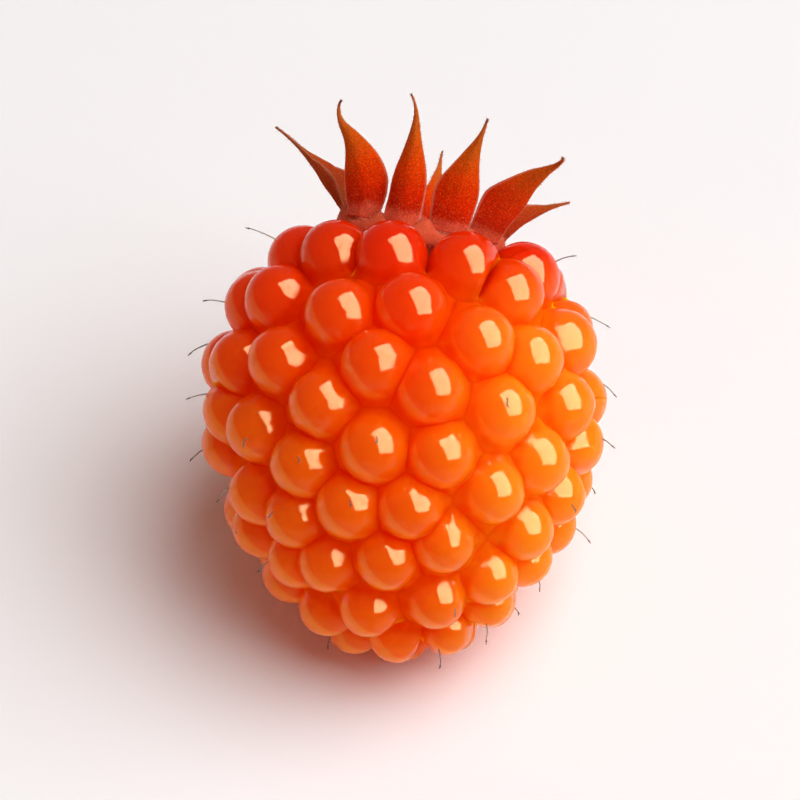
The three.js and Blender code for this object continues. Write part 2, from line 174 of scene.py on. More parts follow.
def dome_grids():
    """One grid for each side of each drupelet, from its top down to the seam where it and a neighbour cross.
    Each row turns on by an equal part of the angle, and its reach goes from the radius to the seam's by a
    high power of the way. Shape: side, step along the seam, row, xyz."""
    faces = grown[hull_of(way[grown])]
    corner = seam_corners(faces)
    start, end = faces.ravel(), np.roll(faces, -1, axis=1).ravel()
    own = np.repeat(np.arange(len(faces)), 3)
    order = np.argsort(start * len(middle) + end)
    twin = order[np.searchsorted((start * len(middle) + end)[order], end * len(middle) + start)]
    here, there, round_here = middle[start], middle[end], radius[start]
    apart = there - here
    far = (apart ** 2).sum(-1)
    part_way = (far + round_here ** 2 - radius[end] ** 2) / (2 * far)
    knot = here + apart * part_way[:, None]
    circle = np.sqrt(np.maximum(round_here ** 2 - far * part_way ** 2, flesh_proud ** 2))[:, None, None]
    first, last = corner[own[twin]], corner[own]
    step = np.linspace(0, 1, seam_steps + 1)[None, :, None]
    reach = circle + (length_of(first - knot)[:, None] - circle) * (1 - step) ** 3
    reach = reach + (length_of(last - knot)[:, None] - circle) * step ** 3
    line = first[:, None] + (last - first)[:, None] * step - knot[:, None]
    seam = knot[:, None] + line / length_of(line) * reach
    down = seam - here[:, None]
    depth = length_of(down)
    top = outward[start][:, None]
    across = (down * top).sum(-1, keepdims=True)
    angle = np.arccos(across / depth)
    aside = down - top * across
    aside /= length_of(aside)
    row = np.linspace(0, 1, dome_rows + 1)[None, None, :, None]
    level = round_here[:, None, None, None]
    reach = level + (depth[:, :, None] - level) * row ** round_to
    turned = angle[:, :, None] * row
    skin = top[:, :, None] * np.cos(turned) + aside[:, :, None] * np.sin(turned)
    return here[:, None, None] + skin * reach, start


def soft_creases(points):
    """Lifts the skin near a seam by the smooth union of the spheres: softness times the log of the sum of
    exponentials of minus each distance over the softness, along that sum's own slope."""
    lifted = points.copy()
    for chunk in np.array_split(np.arange(len(points)), lots):
        for _ in range(crease_passes):
            spot = lifted[chunk]
            apart = spot[:, None] - middle[grown]
            far = length_of(apart)
            weight = np.exp(-(far[..., 0] - radius[grown]) / crease_softness)
            slope = (apart / far * weight[..., None]).sum(1) / weight.sum(1, keepdims=True)
            rise = np.maximum(crease_softness * np.log(weight.sum(1, keepdims=True)), 0)
            steepness = np.maximum((slope ** 2).sum(-1, keepdims=True), crease_gentlest)
            lifted[chunk] = spot + slope * rise / steepness
    return lifted


def grid_faces(rows, columns, count=1):
    """Four-sided faces between the points of a grid, for count grids one after another."""
    corner = (np.arange(rows - 1)[:, None] * columns + np.arange(columns - 1)).ravel()
    face = np.stack([corner, corner + 1, corner + columns + 1, corner + columns], -1)
    return (face[None] + np.arange(count)[:, None, None] * rows * columns).reshape(-1, 4)


def made_piece(name, points, faces, finish, stands_for, attributes=()):
    """A smooth mesh from points in millimetres, with its doubles merged, that rides on the fruit."""
    mesh = bpy.data.meshes.new(name)
    mesh.from_pydata((points * 0.001).tolist(), [], [face for block in faces for face in block.tolist()])
    for label, values in attributes:
        mesh.attributes.new(label, "FLOAT", "POINT").data.foreach_set("value", values.astype(np.float32))
    merged = bmesh.new()
    merged.from_mesh(mesh)
    bmesh.ops.remove_doubles(merged, verts=merged.verts, dist=weld_within)
    bmesh.ops.dissolve_degenerate(merged, edges=merged.edges, dist=sliver_edge)
    merged.to_mesh(mesh)
    merged.free()
    mesh.shade_smooth()
    mesh.materials.append(finish)
    piece = bpy.data.objects.new(name, mesh)
    bpy.context.scene.collection.objects.link(piece)
    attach(piece, "root")
    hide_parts(*stands_for)
    return piece


def linear(colour):
    """An sRGB colour such as f06010 as linear red, green, blue and a full alpha."""
    level = np.array([int(colour[at:at + 2], 16) / 255 for at in (0, 2, 4)])
    return (*np.where(level > 0.04045, ((level + 0.055) / 1.055) ** 2.4, level / 12.92), 1)


def add_node(tree, kind, settings=None, stops=(), **inputs):
    """Adds a node with its settings, and with stops of place and colour where it has a ramp. An input goes by
    its name or, as in i0, by its place. It is a value, or the socket of another node to link."""
    node = tree.nodes.new(kind)
    for name, value in (settings or {}).items():
        setattr(node, name, value)
    for _ in stops[2:]:
        node.color_ramp.elements.new(0.5)
    for element, (at, colour) in zip(node.color_ramp.elements if stops else (), stops):
        element.position, element.color = at, colour
    for name, value in inputs.items():
        by_place = name[0] == "i" and name[1:].isdigit()
        socket = node.inputs[int(name[1:]) if by_place else name.replace("_", " ")]
        if isinstance(value, bpy.types.NodeSocket):
            tree.links.new(value, socket)
        else:
            socket.default_value = value
    return node


def new_material(name):
    """An empty material with its node tree and output."""
    made = bpy.data.materials.new(name)
    made.use_nodes = True
    made.node_tree.nodes.clear()
    return made, made.node_tree


middle, outward, radius = drupelets()
grown = np.delete(np.arange(len(middle)), ungrown)
way = middle / length_of(middle)
tilt = np.radians(axis_rise - 90)
lying = np.array([[1, 0, 0], [0, np.cos(tilt), -np.sin(tilt)], [0, np.sin(tilt), np.cos(tilt)]])
middle, outward = middle @ lying.T, outward @ lying.T
way = way @ lying.T
lowest = (middle[grown, 2] - radius[grown]).min()
set_down = np.array([-middle[rest_drupelet, 0], -middle[rest_drupelet, 1], -lowest - pressed])
middle = middle + set_down

domes, owner = dome_grids()
count, seam_points, dome_points = domes.shape[:3]
skin = soft_creases(domes.reshape(-1, 3))
skin[:, 2] = np.maximum(skin[:, 2], 0)
from_centre = (skin - set_down) @ lying
along = from_centre[:, 2] / half_length
side = from_centre[:, 0] / girth
each = np.repeat(owner, seam_points * dome_points)
spoke = skin - middle[each]
spoke /= length_of(spoke)
off_its_top = np.arccos(np.clip((spoke * outward[each]).sum(-1), -1, 1)) / (np.pi / 2)
# The gleam lamp's line, and how far each point of skin faces away from it: this places a painted glow band.
lamp_line = np.array([0.586, -0.135, 0.799])
past_the_light = (1 - spoke @ lamp_line) / 2
# How near each point lies to a seam between two drupelets: this places painted shade in the creases.
nearest = np.concatenate([
    np.sort(length_of(chunk[:, None] - middle[grown])[..., 0] - radius[grown], axis=1)[:, :2]
    for chunk in np.array_split(skin, lots)])
into_the_seam = np.clip(1 - (nearest[:, 1] - nearest[:, 0]) / seam_width, 0, 1) ** 2

# Thin clear skin over juicy pulp. It is wet and smooth, so each drupelet has one sharp highlight, and light
# sinks in and comes out orange. Painted light is laid into its colour as well: a painted glow band on each
# drupelet's side away from the lamp, painted lighter yellow on the fruit's side toward the lamp, painted
# shade in the creases, which are also dull, and a faint orange emission that glows though it is no lamp.
flesh_skin, tree = new_material("salmonberry_skin")
along_read = add_node(tree, "ShaderNodeAttribute", {"attribute_name": "toward_calyx"})
lamp_side_read = add_node(tree, "ShaderNodeAttribute", {"attribute_name": "toward_the_lamp_side"})
own_read = add_node(tree, "ShaderNodeAttribute", {"attribute_name": "own_tint"})
off_read = add_node(tree, "ShaderNodeAttribute", {"attribute_name": "off_its_top"})
seam_read = add_node(tree, "ShaderNodeAttribute", {"attribute_name": "into_the_seam"})
through_read = add_node(tree, "ShaderNodeAttribute", {"attribute_name": "past_the_light"})
ripe = add_node(tree, "ShaderNodeMath", {"operation": "MULTIPLY_ADD"},
                i0=own_read.outputs["Fac"], i1=0.04, i2=along_read.outputs["Fac"])
ripeness = [(0.0, "f05804"), (0.45, "f05804"), (0.72, "f04002"), (0.95, "e82002")]
body = add_node(tree, "ShaderNodeValToRGB", None, [(at, linear(colour)) for at, colour in ripeness],
                Fac=ripe.outputs[0])
# Painted light: the flesh turns a lighter yellow orange toward the fruit's side that faces the lamp, fading
# out toward the calyx.
painted_lamp_side_light = add_node(tree, "ShaderNodeMapRange", None, Value=lamp_side_read.outputs["Fac"],
                 **{"From_Min": 0.1, "From_Max": 0.7, "To_Min": 0.0, "To_Max": 0.42})
fade_toward_calyx = add_node(tree, "ShaderNodeMapRange", None, Value=along_read.outputs["Fac"],
                   **{"From_Min": 0.7, "From_Max": 0.92, "To_Min": 1.0, "To_Max": 0.0})
painted_sunlit_side = add_node(tree, "ShaderNodeMath", {"operation": "MULTIPLY"},
                  i0=painted_lamp_side_light.outputs[0], i1=fade_toward_calyx.outputs[0])
mixed = add_node(tree, "ShaderNodeMix", {"data_type": "RGBA"}, i0=painted_sunlit_side.outputs[0],
                 i6=body.outputs["Color"], i7=linear("ffa41c"))
# Painted glow: a lighter orange band on each drupelet's side away from the lamp, kept off the seams and
# fainter toward the calyx, where light that crossed the drop would come out.
painted_glow_bands = [(0.0, 0.0), (0.43, 0.0), (0.475, 0.8), (0.58, 1.0), (0.68, 0.5), (0.8, 0.2)]
painted_glow_ramp = add_node(tree, "ShaderNodeValToRGB", None, [(at, (clear, clear, clear, 1)) for at, clear in painted_glow_bands],
                   Fac=through_read.outputs["Fac"])
glow_off_the_seam = add_node(tree, "ShaderNodeMapRange", {"interpolation_type": "SMOOTHSTEP"},
                        Value=off_read.outputs["Fac"],
                        **{"From_Min": 0.74, "From_Max": 0.92, "To_Min": 1.0, "To_Max": 0.0})
painted_glow_band = add_node(tree, "ShaderNodeMath", {"operation": "MULTIPLY"},
                     i0=painted_glow_ramp.outputs["Color"], i1=glow_off_the_seam.outputs[0])
painted_glow_fade = add_node(tree, "ShaderNodeMapRange", None, Value=along_read.outputs["Fac"],
                  **{"From_Min": 0.65, "From_Max": 0.9, "To_Min": 0.33, "To_Max": 0.1})
painted_glow = add_node(tree, "ShaderNodeMath", {"operation": "MULTIPLY"},
                      i0=painted_glow_band.outputs[0], i1=painted_glow_fade.outputs[0])
with_painted_glow = add_node(tree, "ShaderNodeMix", {"data_type": "RGBA"}, i0=painted_glow.outputs[0],
                  i6=mixed.outputs[2], i7=linear("ffa03c"))
# Painted shade: the colour is multiplied darker in the gaps and creases between drupelets, and the same mask
# takes the gloss out there.
painted_gap_shade = add_node(tree, "ShaderNodeMapRange", {"interpolation_type": "SMOOTHSTEP"},
               Value=off_read.outputs["Fac"],
               **{"From_Min": 0.8, "From_Max": 0.96, "To_Min": 0.0, "To_Max": 0.62})
crease_shade_and_dulling = add_node(tree, "ShaderNodeMath", {"operation": "MAXIMUM"},
                   i0=seam_read.outputs["Fac"], i1=painted_gap_shade.outputs[0])
crease_shaded = add_node(tree, "ShaderNodeMix", {"data_type": "RGBA", "blend_type": "MULTIPLY"},
                    i0=crease_shade_and_dulling.outputs[0], i6=with_painted_glow.outputs[2], i7=linear("eec57c"))
gloss = add_node(tree, "ShaderNodeMapRange", None, Value=crease_shade_and_dulling.outputs[0],
                 **{"From_Min": 0.1, "From_Max": 0.58, "To_Min": 0.5, "To_Max": 0.0})
# The faint orange emission is a painted glow: it makes the flesh shine a little light of its own.
shader = add_node(tree, "ShaderNodeBsdfPrincipled", {"subsurface_method": "RANDOM_WALK"},
                  **{"Base_Color": crease_shaded.outputs[2], "Roughness": 0.07, "IOR": 1.32,
                     "Specular_IOR_Level": gloss.outputs[0],
                     "Specular_Tint": linear("ffe8ae"), "Subsurface_Weight": 1.0, "Subsurface_Scale": 0.008,
                     "Subsurface_Radius": (1.0, 0.5, 0.02), "Emission_Color": linear("ff3000"),
                     "Emission_Strength": 0.06})
add_node(tree, "ShaderNodeOutputMaterial", None, Surface=shader.outputs[0])

made_piece("drupelet_flesh", skin, [grid_faces(seam_points, dome_points, count)], flesh_skin,
           ["drupelets"],
           [("toward_calyx", (along + 1) / 2), ("toward_the_lamp_side", side), ("own_tint", stray(each, 6)),
            ("off_its_top", off_its_top), ("past_the_light", past_the_light),
            ("into_the_seam", into_the_seam)])


# The calyx's saucer. It is the fleshy end of the stalk, thick in the middle and thin at the rim, covered
# in short pale down. Its underside has grown in among the drupelets, and the sepals are the lobes of
# its rim.
calyx_height = 8.35
calyx_offset = 0.7
calyx_lean = 10.6
calyx_nod = 6
cup_radius = 3.65
cup_wall = 0.7
cup_rise = 0.05
hub_foot = 2.7
rim_bulge = 0.35
joint = 0.1
sepal_foot = 3.6
cup_around = 240
cup_rows = 90
cup_swell = 0.05
cup_grain = 0.015
sepals_at = [-98, -49, -16, 19, 52, 98, 178]
gap_rise = 0.5
gap_breadth = 0.28
gap_starts = 7  # degrees from the middle of a sepal
gap_eases = 9
grown_in = 1.1
down_count = 3200
down_length = 0.2
down_width = 0.018
down_scatter = 0.45
tufts_per_mm = 3.5


def turned_about(axis, degrees):
    """The matrix of a turn about the X, Y or Z axis."""
    return np.array(Matrix.Rotation(np.radians(degrees), 3, axis))


def on_the_calyx(points):
    """Points given from the calyx's own middle and axis, moved to where it sits on the lying fruit."""
    askew = points @ (turned_about("X", calyx_nod) @ turned_about("Y", calyx_lean)).T
    return (askew + [calyx_offset, 0, calyx_height]) @ lying.T + set_down


def cup_top(out):
    """The saucer's upper face: its wall plus a rise that grows with the square of the way out."""
    return cup_wall + cup_rise * (out / cup_radius) ** 2


def ripple(points, size, kinds=5):
    """A smooth repeatable unevenness from -1 to 1: a few sines of about one wavelength, each across its own
    line."""
    total = np.zeros(points.shape[:-1])
    for kind in range(kinds):
        line = np.array([stray(kind + 1, 11), stray(kind + 1, 12), stray(kind + 1, 13)])
        line *= 2 * np.pi * (1 + 0.35 * stray(kind + 1, 14)) / size / np.linalg.norm(line)
        total += np.sin(points @ line + 7 * kind)
    return total / kinds


def spikes(roots, lines, lengths, width):
    """Hairs as thin spikes: a three-sided foot round each root, and one point at the end of each line."""
    side = np.cross(lines, [0.3, 0.5, 0.81])
    side /= length_of(side)
    other = np.cross(lines, side)
    turns = np.radians([90, 210, 330])[None, :, None]
    foot = roots[:, None] + (side[:, None] * np.cos(turns) + other[:, None] * np.sin(turns)) * width / 2
    points = np.concatenate([foot, (roots + lines * lengths[:, None])[:, None]], 1).reshape(-1, 3)
    first = 4 * np.arange(len(roots))[:, None, None]
    faces = first + np.array([[0, 1, 3], [1, 2, 3], [2, 0, 3], [2, 1, 0]])
    return points, faces.reshape(-1, 3)


def down_on(grid, outwards, count, length, width, kind, lean):
    """Down on a grid surface: spikes at random spots, each standing out along its normal and leaning its own
    way."""
    rng = np.random.default_rng(kind)
    row = rng.integers(0, grid.shape[0] - 1, count)
    column = rng.integers(0, grid.shape[1] - 1, count)
    u, v = rng.random((2, count, 1))
    low = grid[row, column] * (1 - v) + grid[row, column + 1] * v
    high = grid[row + 1, column] * (1 - v) + grid[row + 1, column + 1] * v
    lines = outwards[row, column] + rng.normal(0, down_scatter, (count, 3)) + lean[row, column]
    lines /= length_of(lines)
    return spikes(low * (1 - u) + high * u, lines, length * rng.uniform(0.5, 1.3, count), width), row, column


def normals_of(grid):
    """Unit normals of a grid surface, from the cross product of its two directions."""
    normal = np.cross(np.gradient(grid, axis=1), np.gradient(grid, axis=0))
    return normal / np.maximum(length_of(normal), 1e-9)


underside = np.array([(0, -grown_in), (hub_foot, -grown_in), (hub_foot + 0.4, -grown_in * 0.7),
                      (cup_radius - 0.2, cup_rise - 0.25), (cup_radius, cup_rise)])
rim_turn = np.radians(np.linspace(-60, 60, 5))
rim = np.stack([cup_radius + rim_bulge * cup_wall * np.cos(rim_turn),
                cup_rise + cup_wall / 2 * (1 + np.sin(rim_turn))], -1)
inwards = np.linspace(cup_radius, 0, 14)
profile = np.concatenate([underside, rim, np.stack([inwards, cup_top(inwards)], -1)])
spread = np.concatenate([[0], np.cumsum(np.linalg.norm(np.diff(profile, axis=0), axis=1))])
even = np.linspace(0, spread[-1], cup_rows)
profile = np.stack([np.interp(even, spread, profile[:, axis]) for axis in (0, 1)], -1)
round_turn = np.linspace(0, 2 * np.pi, cup_around + 1)
cup = np.stack([profile[:, None, 0] * np.cos(round_turn), profile[:, None, 0] * np.sin(round_turn),
                profile[:, None, 1] + 0 * round_turn], -1)
from_a_sepal = np.abs(np.degrees(round_turn)[:, None] + 90 - np.array(sepals_at))
from_a_sepal = np.minimum(from_a_sepal % 360, -from_a_sepal % 360).min(1)
between = np.clip((from_a_sepal - gap_starts) / gap_eases, 0, 1)
raised = np.exp(-((profile[:, :1] - sepal_foot) / gap_breadth) ** 2) * (profile[:, 1:] > cup_wall / 2)
cup[..., 2] += gap_rise * raised * between ** 2 * (3 - 2 * between)
swell = ripple(cup, 0.9) * cup_swell + ripple(cup, 0.35) * cup_grain
cup_normals = normals_of(cup)
cup_normals[0], cup_normals[-1] = (0, 0, -1), (0, 0, 1)
cup = cup + cup_normals * (swell * np.sin(np.linspace(0, np.pi, cup_rows))[:, None])[..., None]
cup[:, -1] = cup[:, 0]
(down_points, down_faces), _, _ = down_on(cup, cup_normals, down_count, down_length, down_width, 1,
                                         cup_normals * 0)
cup_points = np.concatenate([cup.reshape(-1, 3), down_points])
is_down = np.repeat([0, 1], [cup[..., 0].size, len(down_points)])

# Short felted down over living tissue. It is matt and has no highlight, mottled between two brick reds, with
# a paler bloom where the hairs stand.
cup_down, tree = new_material("calyx_down_over_brick_red_tissue")
place = add_node(tree, "ShaderNodeTexCoord")
hairy = add_node(tree, "ShaderNodeAttribute", {"attribute_name": "is_down"})
mottle = add_node(tree, "ShaderNodeTexNoise", None, Vector=place.outputs["Object"],
                  Scale=1000 * tufts_per_mm, Detail=5)
tissue = add_node(tree, "ShaderNodeMix", {"data_type": "RGBA"}, i0=mottle.outputs["Fac"],
                  i6=linear("c83c20"), i7=linear("dc6844"))
coat = add_node(tree, "ShaderNodeMix", {"data_type": "RGBA"}, i0=hairy.outputs["Fac"],
                i6=tissue.outputs[2], i7=linear("eaa48c"))
shader = add_node(tree, "ShaderNodeBsdfPrincipled", None,
                  **{"Base_Color": coat.outputs[2], "Roughness": 0.85, "Specular_IOR_Level": 0.02,
                     "Subsurface_Weight": 0.2, "Subsurface_Scale": 0.0003})
add_node(tree, "ShaderNodeOutputMaterial", None, Surface=shader.outputs[0])
made_piece("calyx_saucer", on_the_calyx(cup_points),
           [grid_faces(cup_rows, cup_around + 1), down_faces + cup[..., 0].size], cup_down,
           ["calyx_cup"], [("is_down", is_down)])


# The sepals. Seven pointed lobes of the calyx, thin and leathery with a low keel and fine lengthwise
# veins, velvety with short down that shows pale along the edges, and withered to a dark thread at the tip.
sepals = [
    dict(length=4.9, width=2, flare=52, curl=9, belly=4, turned=-15, cupping=0.42, slender=2, narrow=0.3,
         dry=0.7),
    dict(length=5.45, width=2.1, flare=10, curl=4, bend=-36, turned=36, hook=125, narrow=0.25, dry=0),
    dict(length=5.5, width=1.65, flare=0, curl=2, bend=-3, turned=5, hook=-35, dry=0),
    dict(length=5.05, width=2.1, flare=14, curl=5, bend=6, turned=-10, hook=-10, narrow=0.15, dry=0),
    dict(length=5.75, width=2.05, flare=47, curl=20, bend=1, turned=-30, hook=-75, narrow=0.2, dry=0.1),
    dict(length=3.5, width=1.9, flare=53, curl=14, bend=-4, turned=-20, cupping=0.3, dry=0.5),
    dict(length=4.8, width=1.8, flare=42, curl=-4, turned=45, dry=0),
]
foot_height = 1.2
foot_root = 0.07
upright_root = 0.8
usual_cupping = 0.22
narrow_up_to = 0.35
flat_foot = 0.3
cupped_from = 0.23
sepal_thickness = 0.42
edge_thinning = 0.55
tip_thinning = 0.8
sepal_tip = 0.05
hook_start = 0.72
sepal_along = 72
sepal_around = 56
keel_height = 0.03
keel_breadth = 0.1
vein_depth = 0.012
veins_a_side = 5.5
edge_wave = 0.035
edge_waves = 17
pucker_height = 0.03
dry_pucker = 0.09
breadth_start = 0.12
breadth_span = 0.875
breadth_power = 0.58
down_per_sepal = 700
sepal_down_length = 0.1
sepal_down_width = 0.016
down_combed = 0.8
fine_mottles_per_mm = 13
clouds_per_mm = 0.9
grains_per_mm = 10


def sepal_shell(at, length, width, flare, curl, cupping=usual_cupping, belly=0, bend=0, turned=0, hook=0,
                slender=1, narrow=0, dry=0):
    """A leaf along a curved spine. Its breadth is a squared sine of a power of the way along, drawn in at the
    foot, and its section a lens that is thinnest at the edges, with a keel, veins and puckers."""
    whole = np.linspace(-foot_root, 1, sepal_along + 1)
    share = np.maximum(0, whole)
    upright = 1 - upright_root * np.maximum(0, -whole / foot_root)
    lean = (flare + 2 * curl * (share - 0.5) + belly * np.cos(2 * np.pi * share)) * upright
    hooked = hook * np.maximum(0, (share - hook_start) / (1 - hook_start)) ** 1.5
    frames = np.array([turned_about("X", a) @ turned_about("Y", b) @ turned_about("Z", turned)
                       for a, b in zip(lean, 2 * bend * share + hooked)])
    steps = frames[:-1] @ np.array([0, 0, length * (1 + foot_root) / sepal_along])
    spine = np.concatenate([np.zeros((1, 3)), np.cumsum(steps, axis=0)])
    spine -= [np.interp(0, whole, spine[:, axis]) for axis in range(3)]
    reach = (breadth_start + breadth_span * share) ** breadth_power
    breadth = width * (sepal_tip + (1 - sepal_tip) * np.sin(np.pi * np.maximum(0.5, reach)) ** (2 * slender))
    breadth = (breadth * (1 - narrow * np.maximum(0, 1 - share / narrow_up_to) ** 2))[:, None]
    angle = np.linspace(0, 2 * np.pi, sepal_around + 1)
    across, face, share = np.sin(angle), np.cos(angle), share[:, None]
    thickness = sepal_thickness * (1 - edge_thinning * across ** 2) * (1 - tip_thinning * share)
    bent = cupping * np.minimum(1, flat_foot + (1 - flat_foot) * share / cupped_from)
    spot = np.stack(np.broadcast_arrays(across * breadth, share * length, at + face * 0.2), -1)
    veins = keel_height * np.exp(-(across / keel_breadth) ** 2)
    veins = veins - vein_depth * np.cos(across * veins_a_side * np.pi)
    pucker = pucker_height * ripple(spot, 0.8) + pucker_height / 2 * ripple(spot, 0.3)
    pucker = pucker + dry * dry_pucker * ripple(spot * [3, 0.6, 1], 1.6)
    waves = edge_wave * breadth * np.abs(across) ** 3 * np.sin(share * edge_waves + at + 2 * np.sign(across))
    local = np.zeros((sepal_along + 1, sepal_around + 1, 3))
    local[..., 0] = -across * breadth / 2
    local[..., 1] = face * thickness / 2 + bent * breadth * across ** 2 + waves
    relief = veins * np.sign(face) * np.abs(face) ** 0.5 + pucker
    local[..., 1] += relief * (1 - share ** 3) * breadth / width
    grid = np.einsum("sij,saj->sai", frames, local) + spine[:, None]
    grid[:, -1] = grid[:, 0]
    ends = grid[[0, -1]].mean(1, keepdims=True) + 0 * grid[[0, -1]]
    grid = np.concatenate([ends[:1], grid, ends[1:]]) + [0, -sepal_foot, foot_height]
    return grid @ turned_about("Z", at).T, np.concatenate([[0], share[:, 0], [1]]), across


# A thin leathery blade under velvety down. It is dull and lets a little light through, deep red by the foot
# and warmer outward, grainy with hairs, with a pale hairy edge and a brown withered point.
sepal_skin, tree = new_material("velvety_brick_red_sepal")
place = add_node(tree, "ShaderNodeTexCoord")
toward_tip = add_node(tree, "ShaderNodeAttribute", {"attribute_name": "toward_tip"})
toward_edge = add_node(tree, "ShaderNodeAttribute", {"attribute_name": "toward_edge"})
dryness = add_node(tree, "ShaderNodeAttribute", {"attribute_name": "dryness"})
hairy = add_node(tree, "ShaderNodeAttribute", {"attribute_name": "is_down"})
mottle = add_node(tree, "ShaderNodeTexNoise", None, Vector=place.outputs["Object"],
                  Scale=1000 * fine_mottles_per_mm, Detail=6, Roughness=0.7)
cloud = add_node(tree, "ShaderNodeTexNoise", None, Vector=place.outputs["Object"],
                 Scale=1000 * clouds_per_mm, Detail=3)
strayed = add_node(tree, "ShaderNodeMath", {"operation": "MULTIPLY_ADD"},
                   i0=cloud.outputs["Fac"], i1=0.2, i2=toward_tip.outputs["Fac"])
from_foot = add_node(tree, "ShaderNodeMapRange", None, Value=strayed.outputs[0],
                     **{"From_Min": 0.1, "From_Max": 1.1})
foot_to_point = [(0, "cc5038"), (0.07, "b82008"), (0.2, "d02804"), (0.42, "da4006"), (0.7, "c85812"),
                 (0.94, "b86028"), (0.99, "54403c")]
body = add_node(tree, "ShaderNodeValToRGB", None, [(at, linear(colour)) for at, colour in foot_to_point],
                Fac=from_foot.outputs[0])
fine = add_node(tree, "ShaderNodeMapRange", None, Value=mottle.outputs["Fac"],
                **{"From_Min": 0.3, "From_Max": 0.7, "To_Min": 0.5, "To_Max": 1.45})
mottled = add_node(tree, "ShaderNodeMix", {"data_type": "RGBA", "blend_type": "MULTIPLY"}, i0=1.0,
                   i6=body.outputs["Color"], i7=fine.outputs[0])
withered = add_node(tree, "ShaderNodeMix", {"data_type": "RGBA"}, i0=dryness.outputs["Fac"],
                    i6=mottled.outputs[2], i7=linear("984c28"))
grains = add_node(tree, "ShaderNodeTexVoronoi", None, Vector=place.outputs["Object"],
                  Scale=1000 * grains_per_mm)
grain = add_node(tree, "ShaderNodeMapRange", None, Value=grains.outputs["Distance"],
                 **{"From_Min": 0.1, "From_Max": 0.28, "To_Min": 0.6, "To_Max": 0.0})
specked = add_node(tree, "ShaderNodeMix", {"data_type": "RGBA"}, i0=grain.outputs[0],
                   i6=withered.outputs[2], i7=linear("ff7820"))
edging = add_node(tree, "ShaderNodeMapRange", None, Value=toward_edge.outputs["Fac"],
                  **{"From_Min": 0.9, "From_Max": 1.0, "To_Min": 0.0, "To_Max": 0.5})
edged = add_node(tree, "ShaderNodeMix", {"data_type": "RGBA"}, i0=edging.outputs[0],
                 i6=specked.outputs[2], i7=linear("dca488"))
coat = add_node(tree, "ShaderNodeMix", {"data_type": "RGBA"}, i0=hairy.outputs["Fac"],
                i6=edged.outputs[2], i7=linear("d06040"))
shader = add_node(tree, "ShaderNodeBsdfPrincipled", None,
                  **{"Base_Color": coat.outputs[2], "Roughness": 0.6, "Specular_IOR_Level": 0.0,
                     "Subsurface_Weight": 0.3, "Subsurface_Scale": 0.0004,
                     "Subsurface_Radius": (1.0, 0.3, 0.1)})
add_node(tree, "ShaderNodeOutputMaterial", None, Surface=shader.outputs[0])

for number, (at, sepal) in enumerate(zip(sepals_at, sepals), start=1):
    leaf, share, across = sepal_shell(at, **sepal)
    leaf_normals = normals_of(leaf)
    leaf_normals[[0, -1]] = leaf_normals[[1, -2]]
    upward = np.concatenate([np.diff(leaf, axis=0), np.zeros((1, leaf.shape[1], 3))])
    upward = down_combed * upward / np.maximum(length_of(upward), 1e-9)
    (down_points, down_faces), row, column = down_on(
        leaf[1:-1], leaf_normals[1:-1], down_per_sepal, sepal_down_length, sepal_down_width, 10 + number,
        upward[1:-1])
    grid_share = np.repeat(share, len(across))
    grid_edge = np.tile(np.abs(across), len(share))
    toward_tip = np.concatenate([grid_share, np.repeat(share[row + 1], 4)])
    toward_edge = np.concatenate([grid_edge, np.repeat(np.abs(across)[column], 4)])
    is_down = np.repeat([0, 1], [len(grid_share), len(down_points)])
    made_piece(f"sepal_leaf_{number}", on_the_calyx(np.concatenate([leaf.reshape(-1, 3), down_points])),
               [grid_faces(len(share), len(across)), down_faces + len(grid_share)], sepal_skin,
               [f"sepal_{number}"],
               [("toward_tip", toward_tip), ("toward_edge", toward_edge), ("is_down", is_down),
                ("dryness", sepal["dry"] + 0 * toward_tip)])


# The stub of the stalk. The fruit is pulled off and its stalk breaks just above the calyx, so a short
# dry end is left in the middle of the saucer, grown in one with it, ribbed and torn at the top.
stub_radius = 0.6
stub_height = 0.6
stub_rings = 26
stub_around = 48
stub_ribs = 9
rib_depth = 0.06
torn_depth = 0.12
torn_room = 0.17
fibres_per_mm = 4
way_up = np.linspace(0, 1, stub_rings)
angle = np.linspace(0, 2 * np.pi, stub_around + 1)
ribs = 1 + rib_depth * np.sin(stub_ribs * angle) + rib_depth / 2 * np.sin(17 * angle + 1)
ring_radius = stub_radius * (1.25 - 0.35 * way_up)[:, None] * ribs
torn = torn_depth * np.sin(5 * angle) * way_up[:, None] ** 6
torn = torn + 0.05 * np.sin(13 * angle) * way_up[:, None] ** 4
stub = np.stack([ring_radius * np.cos(angle) + stub_radius / 3 * way_up[:, None] ** 2,
                 ring_radius * np.sin(angle), way_up[:, None] * (stub_height - torn_room) + torn], -1)
stub[:, -1] = stub[:, 0]
top, foot = stub[-1].mean(0) - [0, 0, torn_depth], stub[0].mean(0)
inner = (stub[-1] * 0.55 + top * 0.45)[None]
stub = np.concatenate([foot + 0 * stub[:1], stub, inner, top + 0 * stub[:1]])
stub += [0, 0, cup_wall + joint]

# Dry torn plant fibre. It is matt, and streaked between two browns.
bark, tree = new_material("dry_broken_stalk")
place = add_node(tree, "ShaderNodeTexCoord")
grain = add_node(tree, "ShaderNodeTexNoise", None, Vector=place.outputs["Object"],
                 Scale=1000 * fibres_per_mm, Detail=6)
wood = add_node(tree, "ShaderNodeMix", {"data_type": "RGBA"}, i0=grain.outputs["Fac"],
                i6=linear("7c3a1c"), i7=linear("b0683c"))
shader = add_node(tree, "ShaderNodeBsdfPrincipled", None, Base_Color=wood.outputs[2], Roughness=0.85)
add_node(tree, "ShaderNodeOutputMaterial", None, Surface=shader.outputs[0])
made_piece("stalk_stub", on_the_calyx(stub).reshape(-1, 3), [grid_faces(len(stub), stub_around + 1)], bark,
           ["pedicel_stub"])


